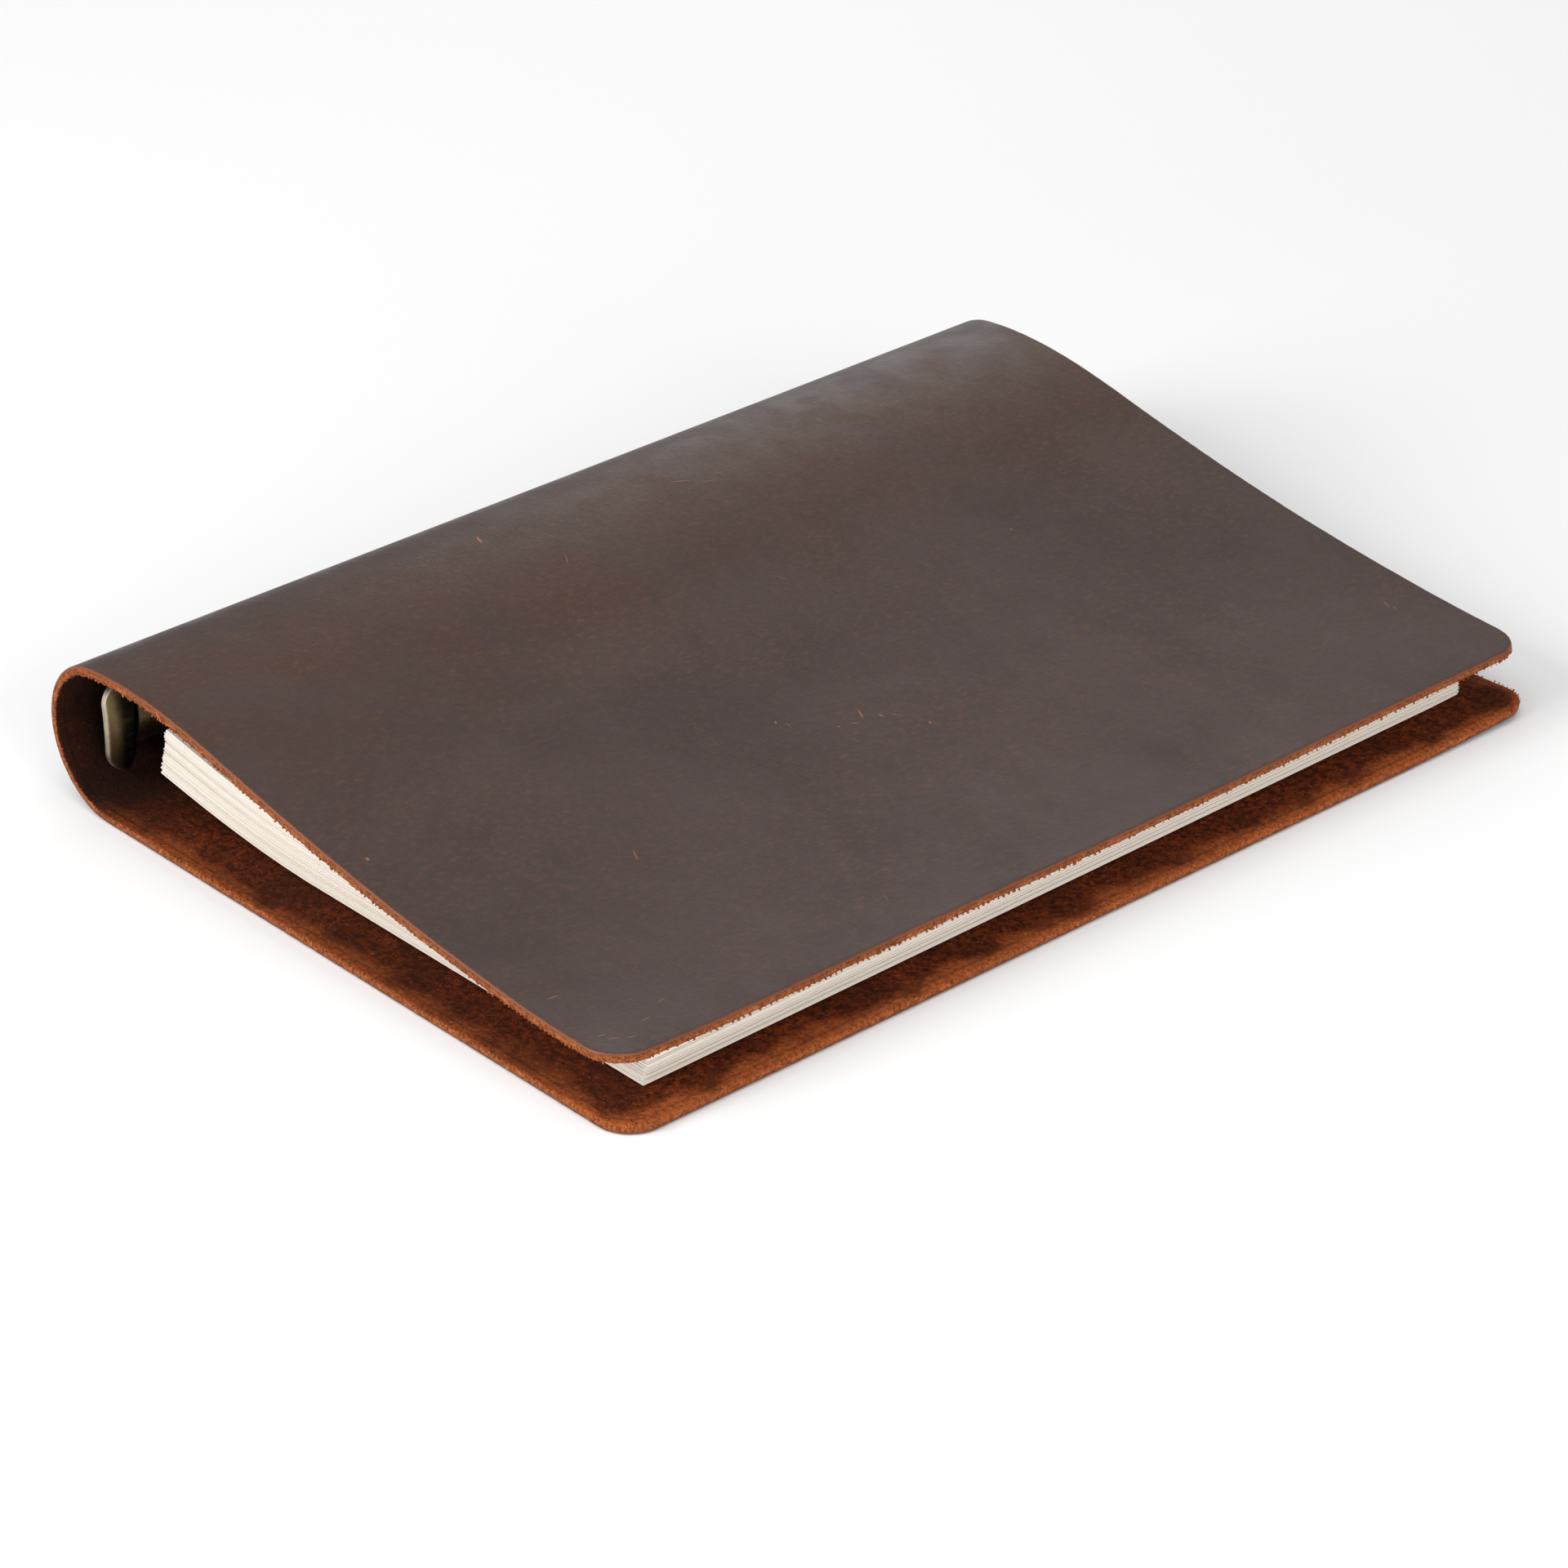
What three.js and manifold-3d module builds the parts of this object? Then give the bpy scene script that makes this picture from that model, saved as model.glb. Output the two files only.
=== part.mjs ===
/*
 * Refillable ring-binder scrapbook album, closed and lying on its back cover.
 * One hide wraps round a stack of loose sheets, and a six-ring mechanism is screwed inside its spine.
 * Millimetres, +Z up. X runs from the spine (-) to the fore-edge (+), Y runs along the spine,
 * and the underside of the back cover lies on Z = 0.
 */
import * as THREE from 'three';
import { mergeVertices } from 'three/addons/utils/BufferGeometryUtils.js';
import Module from 'manifold-3d';

const wasm = await Module();
wasm.setup();

// ---------------------------------------------------------------- driving dimensions

const gap = 0.3; // clearance between neighbouring pieces
const halfGap = gap / 2;
const overcut = 1; // how far a cutting tool reaches past what it cuts

const coverLength = 230;
const coverDepth = 169.5; // from the back of the spine to the fore-edge of the back cover
const coverCornerRadius = 7.3;
const hide = 2.0; // leather thickness
const foreEdgeX = 85.4;
const frontEdge = new THREE.Vector2(82.7, 14.1); // outer corner of the front cover's fore-edge
const spineRadius = 16.2; // outside of the rolled spine
const foldStartAngle = 159; // degrees round the spine roll, from the fore-edge direction
const foldEndAngle = 103;
const rollEndAngle = 97;
const shoulder = new THREE.Vector2(-30.75, 29.1); // where the front cover starts to sink
const riseHandles = [new THREE.Vector2(-57.96, 33.74), new THREE.Vector2(-44.41, 32.17)];
const fallHandles = [new THREE.Vector2(6.3, 20.8), new THREE.Vector2(44.7, 15.24)];

const sheetLength = 208.6;
const sheetWidth = 142;
const sheetCentreY = 1.3;
const sheetSetback = 9.75; // from the back cover's fore-edge in to the lowest sheets
const holeDiameter = 6;
const holePositions = [-73, -54, -35, 35, 54, 73]; // along the spine, from the middle
const packCount = 4; // packs of loose leaves that stay on the back cover
const packHeight = 1.5;
const frontLeavesHeight = 2.5;
const packStep = 1.2; // how far each pack's inner edge stands off the one below
const packTrim = 0.3; // how far each pack's outer edge stops short of the one below
const slotBehindWire = 3.4; // room in the punched holes on the spine side of the ring's centre line
const slotBehindCrown = 2.1;
const slotBeyondWire = 2.9;
const liftStartX = -21; // where the leaves start to rise towards the rings
const liftHeight = 4.85;
const liftPower = 1.65;
const fan = 0.08; // the leaves spread by this much at the rings

const mechanismY = 1.2; // middle of the mechanism along the spine
const mechanismZ = 16.15;
const railHalfLength = 103.2;
const railHalfWidth = 8.65;
const railRise = 5.2;
const railSheet = 0.8;
const railCrownX = -73.6;
const railNotchStart = 4.5; // from the rail's middle line
const plateTopX = -78.3;
const plateSheet = 0.6;
const plateWidth = 6.7;
const plateEnd = 0.7; // how far each plate stops short of the rail's end
const ringX = -67.0; // centre line of the closed rings
const ringRadius = 11.4;
const wireRadius = 1.2;
const ringFootAngle = 149; // degrees round the ring, where the wire is staked to its plate
const leverTabLength = 6.9;
const leverTabWidth = 19.6;
const leverTabDrop = 1.35; // the tab's middle sits this far below the rings' middle
const leverCornerRadius = 5;
const leverSheet = 1.2;
const leverTabX = -74.9; // underside of the thumb tab
const leverTongueX = -80.3; // underside of the tongue below the plates
const leverTongueSheet = 1.0; // the tongue is pressed thinner than the tab
const leverTongueReach = 3.2;
const leverTongueWidth = 6;
const leverWebWidth = 10;
const postSpacing = 178;
const postRadius = 2.2;
const postBore = 1.5;
const postBoreFloor = 0.8; // solid metal left above the cap
const postCapRadius = 4.5;
const postCapHeight = 1.0;
const screwRadius = 1.1;
const screwHeadRadius = 3.3;
const screwHeadHeight = 1.0;

// ---------------------------------------------------------------- materials

function finish(color, roughness, metalness) {
  return () => new THREE.MeshStandardMaterial({ color, roughness, metalness });
}

const oiledLeather = finish(0x554b4b, 0.55, 0);
const paper = finish(0xf3ede2, 0.9, 0);
const antiqueBrass = finish(0x827a5c, 0.4, 0.9);

// ---------------------------------------------------------------- geometry helpers

const radians = THREE.MathUtils.degToRad;

function extruded(shape, depth, curveSegments) {
  return new THREE.ExtrudeGeometry(shape, { depth, bevelEnabled: false, curveSegments });
}

// A flat outline in X and Z, drawn out along Y.
function drawnAlongY(shape, fromY, toY) {
  const geometry = extruded(shape, toY - fromY, 12);
  geometry.rotateX(Math.PI / 2);
  geometry.translate(0, toY, 0);
  return geometry;
}

// A flat outline in Y and Z, given a thickness along +X.
function drawnAlongX(shape, fromX, thickness) {
  const geometry = extruded(shape, thickness, 5);
  const axes = new THREE.Matrix4().makeBasis(
    new THREE.Vector3(0, 1, 0),
    new THREE.Vector3(0, 0, 1),
    new THREE.Vector3(1, 0, 0),
  );
  geometry.applyMatrix4(axes);
  geometry.translate(fromX, 0, 0);
  return geometry;
}

// A flat outline in X and Y, given a height along +Z.
function drawnAlongZ(shape, fromZ, height) {
  const geometry = extruded(shape, height, 6);
  geometry.translate(0, 0, fromZ);
  return geometry;
}

function block(fromX, toX, fromY, toY, fromZ, toZ) {
  const geometry = new THREE.BoxGeometry(toX - fromX, toY - fromY, toZ - fromZ);
  geometry.translate((fromX + toX) / 2, (fromY + toY) / 2, (fromZ + toZ) / 2);
  return geometry;
}

// A round bar along X.
function barAlongX(radius, fromX, toX, y, z, sides) {
  const geometry = new THREE.CylinderGeometry(radius, radius, toX - fromX, sides);
  geometry.rotateZ(Math.PI / 2);
  geometry.translate((fromX + toX) / 2, y, z);
  return geometry;
}

function toSolid(geometry) {
  const bare = geometry.clone();
  bare.deleteAttribute('normal');
  bare.deleteAttribute('uv');
  const merged = mergeVertices(bare, 1e-4);
  const vertProperties = new Float32Array(merged.getAttribute('position').array);
  const triVerts = new Uint32Array(merged.getIndex().array);
  return new wasm.Manifold(new wasm.Mesh({ numProp: 3, vertProperties, triVerts }));
}

function toGeometry(solid) {
  const mesh = solid.getMesh();
  const geometry = new THREE.BufferGeometry();
  geometry.setAttribute('position', new THREE.BufferAttribute(mesh.vertProperties, 3));
  geometry.setIndex(new THREE.BufferAttribute(mesh.triVerts, 1));
  geometry.computeVertexNormals();
  return geometry;
}

function cut(geometry, tools) {
  return toGeometry(tools.reduce((solid, tool) => solid.subtract(toSolid(tool)), toSolid(geometry)));
}

function joined(geometries) {
  return toGeometry(geometries.map(toSolid).reduce((solid, other) => solid.add(other)));
}

// ---------------------------------------------------------------- the hide

const spineX = foreEdgeX - coverDepth + spineRadius;
const spineZ = spineRadius;
const backX = spineX - spineRadius; // back of the spine

function onRoll(angle) {
  const x = spineX + spineRadius * Math.cos(radians(angle));
  const z = spineZ + spineRadius * Math.sin(radians(angle));
  return new THREE.Vector2(x, z);
}

// Outer line of the hide from the foot of the spine, round the roll and over to the front fore-edge.
function hideLine() {
  const line = new THREE.CurvePath();
  line.add(new THREE.EllipseCurve(
    spineX, spineZ, spineRadius, spineRadius, radians(270), radians(rollEndAngle), true,
  ));
  line.add(new THREE.CubicBezierCurve(onRoll(rollEndAngle), ...riseHandles, shoulder));
  line.add(new THREE.CubicBezierCurve(shoulder, ...fallHandles, frontEdge));
  return line;
}

const outerLine = hideLine();
const hideEnd = outerLine.getLength();

function distanceToAngle(angle) {
  return spineRadius * radians(270 - angle);
}

// A strip of the hide between two distances along its outer line.
function hideStrip(from, to, steps) {
  const outer = [];
  const inner = [];
  for (let step = 0; step <= steps; step += 1) {
    const along = (from + (to - from) * step / steps) / hideEnd;
    const point = outerLine.getPoint(along);
    const tangent = outerLine.getTangent(along);
    outer.push(point);
    inner.push(new THREE.Vector2(point.x + hide * tangent.y, point.y - hide * tangent.x));
  }
  const shape = new THREE.Shape([...outer, ...inner.reverse()]);
  return drawnAlongY(shape, -coverLength / 2, coverLength / 2);
}

// Plan outline of a cover, with its two fore-edge corners rounded.
function coverPlan(innerX, outerX) {
  const half = coverLength / 2;
  const r = coverCornerRadius;
  const shape = new THREE.Shape();
  shape.moveTo(innerX, -half);
  shape.lineTo(outerX - r, -half);
  shape.absarc(outerX - r, -half + r, r, radians(-90), 0, false);
  shape.absarc(outerX - r, half - r, r, 0, radians(90), false);
  shape.lineTo(innerX, half);
  return shape;
}

function backCover() {
  return drawnAlongZ(coverPlan(spineX + halfGap, foreEdgeX), 0, hide);
}

function spineWrap() {
  const strip = hideStrip(halfGap, distanceToAngle(foldStartAngle) - halfGap, 10);
  const holes = postPositions.map((y) => (
    barAlongX(postRadius + gap, backX - overcut, backX + 2 * hide, y, mechanismZ, 12)
  ));
  return cut(strip, holes);
}

function spineFold() {
  return hideStrip(
    distanceToAngle(foldStartAngle) + halfGap, distanceToAngle(foldEndAngle) - halfGap, 5,
  );
}

function frontCover() {
  const strip = hideStrip(distanceToAngle(foldEndAngle) + halfGap, hideEnd, 20);
  const tallPlan = drawnAlongZ(coverPlan(backX, frontEdge.x), -overcut, 3 * spineRadius);
  return toGeometry(toSolid(strip).intersect(toSolid(tallPlan)));
}

// ---------------------------------------------------------------- the leaves

const stackInnerX = foreEdgeX - sheetSetback - sheetWidth;
const stackFloor = hide + gap;

// How far the leaves have risen at x, from 0 on the flat to 1 at the inner edge.
function lift(x) {
  const along = Math.max(0, (liftStartX - x) / (liftStartX - stackInnerX));
  return along ** liftPower;
}

function leafHeight(x, level) {
  return stackFloor + liftHeight * lift(x) + level * (1 + fan * lift(x));
}

// One pack of leaves: its underside and top follow the rise towards the rings.
function leafPack(index, level, thickness) {
  const innerX = stackInnerX + packStep * index;
  const outerX = stackInnerX + sheetWidth - packTrim * index;
  const bends = 7;
  const stations = [outerX];
  for (let bend = 0; bend <= bends; bend += 1) {
    stations.push(liftStartX + (innerX - liftStartX) * bend / bends);
  }
  const underside = stations.map((x) => new THREE.Vector2(x, leafHeight(x, level)));
  const top = stations.map((x) => new THREE.Vector2(x, leafHeight(x, level + thickness)));
  const shape = new THREE.Shape([...underside, ...top.reverse()]);
  const pack = drawnAlongY(shape, sheetCentreY - sheetLength / 2, sheetCentreY + sheetLength / 2);
  return cut(pack, holePositions.map((y) => leafSlot(innerX, level, sheetCentreY + y)));
}

// The punched hole of a pack, drawn out along X as the ring crosses it at a slant.
function leafSlot(innerX, level, y) {
  const r = holeDiameter / 2;
  const crossing = leafHeight(innerX + holeDiameter, level) - mechanismZ;
  const ringReach = Math.sqrt(Math.max(0, ringRadius ** 2 - crossing ** 2));
  const from = Math.min(ringX + ringReach - slotBehindWire, ringX + ringRadius - slotBehindCrown);
  const to = ringX + ringRadius + slotBeyondWire;
  const shape = new THREE.Shape();
  shape.moveTo(from, y - r);
  shape.lineTo(to - r, y - r);
  shape.absarc(to - r, y, r, radians(-90), radians(90), false);
  shape.lineTo(from, y + r);
  return drawnAlongZ(shape, 0, 2 * spineRadius);
}

// ---------------------------------------------------------------- the ring mechanism

const postPositions = [mechanismY - postSpacing / 2, mechanismY + postSpacing / 2];
const railRadius = (railHalfWidth ** 2 + railRise ** 2) / (2 * railRise);
const railX = railCrownX - railRadius;

// The arched cover over the plates, notched where the ring wires come out.
function railCover() {
  const edge = Math.asin(railHalfWidth / railRadius);
  const shape = new THREE.Shape();
  shape.absarc(railX, mechanismZ, railRadius, -edge, edge, false);
  shape.absarc(railX, mechanismZ, railRadius - railSheet, edge, -edge, true);
  const arch = drawnAlongY(shape, mechanismY - railHalfLength, mechanismY + railHalfLength);
  const notchHalf = wireRadius + 2 * gap;
  const notchWidth = railHalfWidth + overcut - railNotchStart;
  const notches = holePositions.flatMap((offset) => {
    const y = mechanismY + offset;
    return [railNotchStart, -railNotchStart - notchWidth].map((dz) => block(
      railX, railCrownX + overcut,
      y - notchHalf, y + notchHalf,
      mechanismZ + dz, mechanismZ + dz + notchWidth,
    ));
  });
  const screwHoles = postPositions.map((y) => (
    barAlongX(screwRadius + gap, railCrownX - railRise, railCrownX + overcut, y, mechanismZ, 10)
  ));
  return cut(arch, [...notches, ...screwHoles]);
}

// One of the two sprung plates that carry the half rings. side is +1 above and -1 below.
function hingePlate(side) {
  const inner = mechanismZ + side * halfGap;
  const outer = mechanismZ + side * (halfGap + plateWidth);
  const reach = railHalfLength - plateEnd;
  const plate = block(
    plateTopX - plateSheet, plateTopX,
    mechanismY - reach, mechanismY + reach,
    Math.min(inner, outer), Math.max(inner, outer),
  );
  const clear = postRadius + 2 * gap;
  const notches = postPositions.map((y) => block(
    plateTopX - plateSheet - overcut, plateTopX + overcut,
    y - clear, y + clear,
    mechanismZ - clear, mechanismZ + clear,
  ));
  return cut(plate, notches);
}

class WireArc extends THREE.Curve {
  constructor(y, fromAngle, toAngle) {
    super();
    this.y = y;
    this.fromAngle = fromAngle;
    this.toAngle = toAngle;
  }

  getPoint(t, target = new THREE.Vector3()) {
    const angle = this.fromAngle + (this.toAngle - this.fromAngle) * t;
    return target.set(
      ringX + ringRadius * Math.cos(angle),
      this.y,
      mechanismZ + ringRadius * Math.sin(angle),
    );
  }
}

// Half a ring of round wire, from its tip to the foot that is staked to the plate.
function halfRing(side, y) {
  const tip = side * halfGap / ringRadius;
  const foot = side * radians(ringFootAngle);
  const section = new THREE.Shape();
  section.absarc(0, 0, wireRadius, 0, 2 * Math.PI, false);
  return new THREE.ExtrudeGeometry(section, {
    extrudePath: new WireArc(y, tip, foot), steps: 14, curveSegments: 4, bevelEnabled: false,
  });
}

// A thumb lever: a round-cornered tab outside the rail, a web, and a tongue below the plates.
// side is -1 at the near end and +1 at the far end.
function lever(side) {
  const webInnerY = mechanismY + side * (railHalfLength + gap);
  const webOuterY = webInnerY + side * leverSheet;
  const tipY = webInnerY + side * (leverSheet + leverTabLength);
  const tongueY = webInnerY - side * leverTongueReach;
  const low = mechanismZ - leverTabDrop - leverTabWidth / 2;
  const high = low + leverTabWidth;
  const r = leverCornerRadius;
  const bendY = tipY - side * r;
  const tab = new THREE.Shape();
  tab.moveTo(webInnerY, low);
  tab.lineTo(bendY, low);
  if (side > 0) {
    tab.absarc(bendY, low + r, r, radians(-90), 0, false);
    tab.absarc(bendY, high - r, r, 0, radians(90), false);
  } else {
    tab.absarc(bendY, low + r, r, radians(-90), radians(-180), true);
    tab.absarc(bendY, high - r, r, radians(180), radians(90), true);
  }
  tab.lineTo(webInnerY, high);
  const web = block(
    leverTongueX, leverTabX + leverSheet,
    Math.min(webInnerY, webOuterY), Math.max(webInnerY, webOuterY),
    mechanismZ - leverWebWidth / 2, mechanismZ + leverWebWidth / 2,
  );
  const tongue = block(
    leverTongueX, leverTongueX + leverTongueSheet,
    Math.min(tongueY, webOuterY), Math.max(tongueY, webOuterY),
    mechanismZ - leverTongueWidth / 2, mechanismZ + leverTongueWidth / 2,
  );
  return joined([drawnAlongX(tab, leverTabX, leverSheet), web, tongue]);
}

// Quarter-ellipse points of a low dome, from its apex on the axis to its rim.
function dome(radius, apexX, rimX) {
  const steps = 3;
  const points = [];
  for (let step = 0; step <= steps; step += 1) {
    const angle = radians(90 * step / steps);
    points.push(new THREE.Vector2(radius * Math.sin(angle), rimX + (apexX - rimX) * Math.cos(angle)));
  }
  return points;
}

// A round piece whose profile of radius and X is turned about an axis along X.
function turnedAboutX(profile, y, z) {
  const geometry = new THREE.LatheGeometry(profile, 16);
  geometry.rotateZ(-Math.PI / 2);
  geometry.translate(0, y, z);
  return geometry;
}

// The threaded post: a domed cap outside the spine and a sleeve that reaches the rail.
function spinePost(y) {
  const capX = backX - gap;
  const sleeveEndX = railCrownX - railSheet - gap;
  const boreEndX = capX + postBoreFloor;
  const profile = [
    ...dome(postCapRadius, capX - postCapHeight, capX),
    new THREE.Vector2(postRadius, capX),
    new THREE.Vector2(postRadius, sleeveEndX),
    new THREE.Vector2(postBore, sleeveEndX),
    new THREE.Vector2(postBore, boreEndX),
    new THREE.Vector2(0, boreEndX),
  ];
  return turnedAboutX(profile, y, mechanismZ);
}

// The screw that holds the rail down to the post.
function railScrew(y) {
  const headX = railCrownX + gap;
  const shankEndX = backX + hide;
  const profile = [
    new THREE.Vector2(0, shankEndX),
    new THREE.Vector2(screwRadius, shankEndX),
    new THREE.Vector2(screwRadius, headX),
    ...dome(screwHeadRadius, headX + screwHeadHeight, headX).reverse(),
  ];
  return turnedAboutX(profile, y, mechanismZ);
}

// ---------------------------------------------------------------- assembly

const album = new THREE.Group();

function addPart(parent, name, geometry, material) {
  const mesh = new THREE.Mesh(geometry, material());
  mesh.name = name;
  parent.add(mesh);
}

const binding = new THREE.Group();
addPart(binding, 'back_cover', backCover(), oiledLeather);
addPart(binding, 'spine_wrap', spineWrap(), oiledLeather);
addPart(binding, 'spine_fold', spineFold(), oiledLeather);
addPart(binding, 'front_cover', frontCover(), oiledLeather);
album.add(binding);

const leaves = new THREE.Group();
for (let index = 0; index < packCount; index += 1) {
  const level = index * (packHeight + gap);
  addPart(leaves, `leaf_pack_${index + 1}`, leafPack(index, level, packHeight), paper);
}
const frontLevel = packCount * (packHeight + gap);
addPart(leaves, 'front_leaves', leafPack(packCount, frontLevel, frontLeavesHeight), paper);
album.add(leaves);

const mechanism = new THREE.Group();
addPart(mechanism, 'rail_cover', railCover(), antiqueBrass);
for (const [half, side] of [['upper', 1], ['lower', -1]]) {
  addPart(mechanism, `hinge_plate_${half}`, hingePlate(side), antiqueBrass);
  holePositions.forEach((offset, index) => {
    addPart(mechanism, `ring_${half}_${index + 1}`, halfRing(side, mechanismY + offset), antiqueBrass);
  });
}
for (const [end, side] of [['near', -1], ['far', 1]]) {
  const y = mechanismY + side * postSpacing / 2;
  addPart(mechanism, `lever_${end}`, lever(side), antiqueBrass);
  addPart(mechanism, `spine_post_${end}`, spinePost(y), antiqueBrass);
  addPart(mechanism, `rail_screw_${end}`, railScrew(y), antiqueBrass);
}
album.add(mechanism);

export default album;
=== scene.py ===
"""A refillable ring-binder scrapbook album in wrap-round oiled leather, closed on its back cover.

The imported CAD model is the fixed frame, in metres: X from spine to fore-edge, Y along the spine, Z up.
"""

import math
import random

import bpy
import numpy as np
from mathutils import Euler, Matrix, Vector, noise
from mathutils.geometry import delaunay_2d_cdt


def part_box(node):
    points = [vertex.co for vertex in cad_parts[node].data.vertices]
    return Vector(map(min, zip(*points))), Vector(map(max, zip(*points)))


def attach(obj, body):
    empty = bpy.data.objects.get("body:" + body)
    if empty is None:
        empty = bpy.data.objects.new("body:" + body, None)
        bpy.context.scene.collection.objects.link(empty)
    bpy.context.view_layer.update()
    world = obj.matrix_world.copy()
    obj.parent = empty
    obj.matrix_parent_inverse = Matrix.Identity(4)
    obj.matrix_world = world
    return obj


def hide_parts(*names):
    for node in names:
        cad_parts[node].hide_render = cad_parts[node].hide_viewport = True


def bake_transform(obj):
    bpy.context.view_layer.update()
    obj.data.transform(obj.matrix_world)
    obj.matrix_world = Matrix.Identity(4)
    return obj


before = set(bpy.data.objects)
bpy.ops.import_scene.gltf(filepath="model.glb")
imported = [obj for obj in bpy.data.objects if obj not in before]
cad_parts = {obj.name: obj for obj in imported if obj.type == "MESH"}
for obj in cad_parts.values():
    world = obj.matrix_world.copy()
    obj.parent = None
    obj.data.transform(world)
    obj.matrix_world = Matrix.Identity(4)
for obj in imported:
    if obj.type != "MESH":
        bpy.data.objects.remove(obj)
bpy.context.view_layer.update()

MM = 0.001


# ---------------------------------------------------------------- sizes, from the frame

back_low, back_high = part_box("back_cover")
wrap_low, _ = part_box("spine_wrap")
_, front_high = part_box("front_cover")
HIDE = back_high.z - back_low.z
HALF_LENGTH = back_high.y
FORE_EDGE_X = back_high.x
SPINE_X = back_low.x - 0.15 * MM
SPINE_RADIUS = SPINE_X - wrap_low.x
FRONT_EDGE = (front_high.x, 14.1 * MM)
ROLL_END = math.radians(97)  # where the roll of the spine passes into the front cover
SHOULDER = (-30.75 * MM, 29.1 * MM)  # where the front cover starts to fall towards its fore-edge
RISE_HANDLES = ((-57.96 * MM, 33.74 * MM), (-44.41 * MM, 32.17 * MM))
FALL_HANDLES = ((6.3 * MM, 20.8 * MM), (44.7 * MM, 15.24 * MM))
SEAM_ANGLE = 131  # where the two pieces of the hide meet on the roll
CORNER_RADIUS = 7.3 * MM

rail_low, rail_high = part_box("rail_cover")
MECHANISM_Y = (rail_low.y + rail_high.y) / 2
MECHANISM_Z = (rail_low.z + rail_high.z) / 2
HOLE_OFFSETS = [side * y * MM for side, y in ((-1, 73), (-1, 54), (-1, 35), (1, 35), (1, 54), (1, 73))]

SHEET_WIDTH = 142 * MM
SHEET_THICKNESS = 0.17 * MM
HOLE_RADIUS = 3 * MM
HOLE_FROM, HOLE_TO = 7.8 * MM, 9.9 * MM  # middles of the rounded ends of a hole, from the sheet's inner edge


# ---------------------------------------------------------------- mesh helpers

def new_object(name, vertices, faces, materials, indices=None, smooth=True):
    """A mesh object in the shared frame. indices gives each face's place in materials."""
    mesh = bpy.data.meshes.new(name)
    mesh.from_pydata([tuple(v) for v in vertices], [], faces)
    for material in materials:
        mesh.materials.append(material)
    if indices is not None:
        mesh.polygons.foreach_set("material_index", indices)
    mesh.polygons.foreach_set("use_smooth", [smooth] * len(mesh.polygons))
    mesh.update()
    obj = bpy.data.objects.new(name, mesh)
    bpy.context.scene.collection.objects.link(obj)
    return obj


def store(obj, name, values):
    """Keeps a number or a vector with each vertex, for the materials."""
    values = np.array(values, np.float32)
    kind, key = ("FLOAT", "value") if values.ndim == 1 else ("FLOAT_VECTOR", "vector")
    obj.data.attributes.new(name, kind, "POINT").data.foreach_set(key, values.ravel())


def sharpen(obj, degrees):
    """Marks the edges that turn by more than this, so that they stay crisp under smooth shading."""
    obj.data.set_sharp_from_angle(angle=math.radians(degrees))


def bevel(obj, width, segments=2, degrees=40):
    made = obj.modifiers.new("soft edges", "BEVEL")
    made.width = width
    made.segments = segments
    made.limit_method = "ANGLE"
    made.angle_limit = math.radians(degrees)
    made.harden_normals = True


def smoothstep(low, high, value):
    t = np.clip((value - low) / (high - low), 0, 1)
    return t * t * (3 - 2 * t)


def wobble(x, y, size, seed):
    """Smooth noise from -1 to 1 over features of about this size."""
    return noise.noise(Vector((x / size + seed, y / size - seed, 0.37 * seed)))


# ---------------------------------------------------------------- node helpers

class Paint:
    """A procedural material under construction. Each method adds a node and returns its output."""

    def __init__(self, name):
        self.material = bpy.data.materials.new(name)
        self.material.use_nodes = True
        self.tree = self.material.node_tree
        self.tree.nodes.clear()

    def add(self, kind, inputs, output=0, **settings):
        node = self.tree.nodes.new(kind)
        for key, value in settings.items():
            setattr(node, key, value)
        for socket, value in inputs.items():
            if isinstance(value, bpy.types.NodeSocket):
                self.tree.links.new(value, node.inputs[socket])
            else:
                node.inputs[socket].default_value = value
        return node.outputs[output] if node.outputs else None

    def math(self, operation, a, b=0.0):
        return self.add("ShaderNodeMath", {0: a, 1: b}, operation=operation)

    def scaled(self, vector, x, y, z):
        return self.add("ShaderNodeVectorMath", {0: vector, 1: (x, y, z)}, operation="MULTIPLY")

    def noise(self, vector, size, detail=4.0, roughness=0.55, distortion=0.0):
        """Noise whose largest features are about this size, in metres."""
        inputs = {"Vector": vector, "Scale": 1 / size, "Detail": detail, "Roughness": roughness,
                  "Distortion": distortion}
        return self.add("ShaderNodeTexNoise", inputs)

    def cells(self, vector, size):
        return self.add("ShaderNodeTexVoronoi", {"Vector": vector, "Scale": 1 / size})

    def span(self, value, low, high, to_low=0.0, to_high=1.0):
        """value from low to high becomes to_low to to_high, eased and clamped."""
        inputs = {"Value": value, "From Min": low, "From Max": high, "To Min": to_low, "To Max": to_high}
        return self.add("ShaderNodeMapRange", inputs, interpolation_type="SMOOTHSTEP")

    def mix(self, share, a, b):
        inputs = {"Factor": share, 6: a, 7: b}
        return self.add("ShaderNodeMix", inputs, output=2, data_type="RGBA")

    def bump(self, height, distance, strength=1.0, below=None):
        inputs = {"Height": height, "Distance": distance, "Strength": strength}
        if below is not None:
            inputs["Normal"] = below
        return self.add("ShaderNodeBump", inputs)

    def finish(self, color, roughness, normal=None, **constants):
        inputs = {"Base Color": color, "Roughness": roughness}
        if normal is not None:
            inputs["Normal"] = normal
        inputs.update({key.replace("_", " "): value for key, value in constants.items()})
        shader = self.add("ShaderNodeBsdfPrincipled", inputs)
        self.add("ShaderNodeOutputMaterial", {"Surface": shader})
        return self.material


# ---------------------------------------------------------------- leather materials

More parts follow.
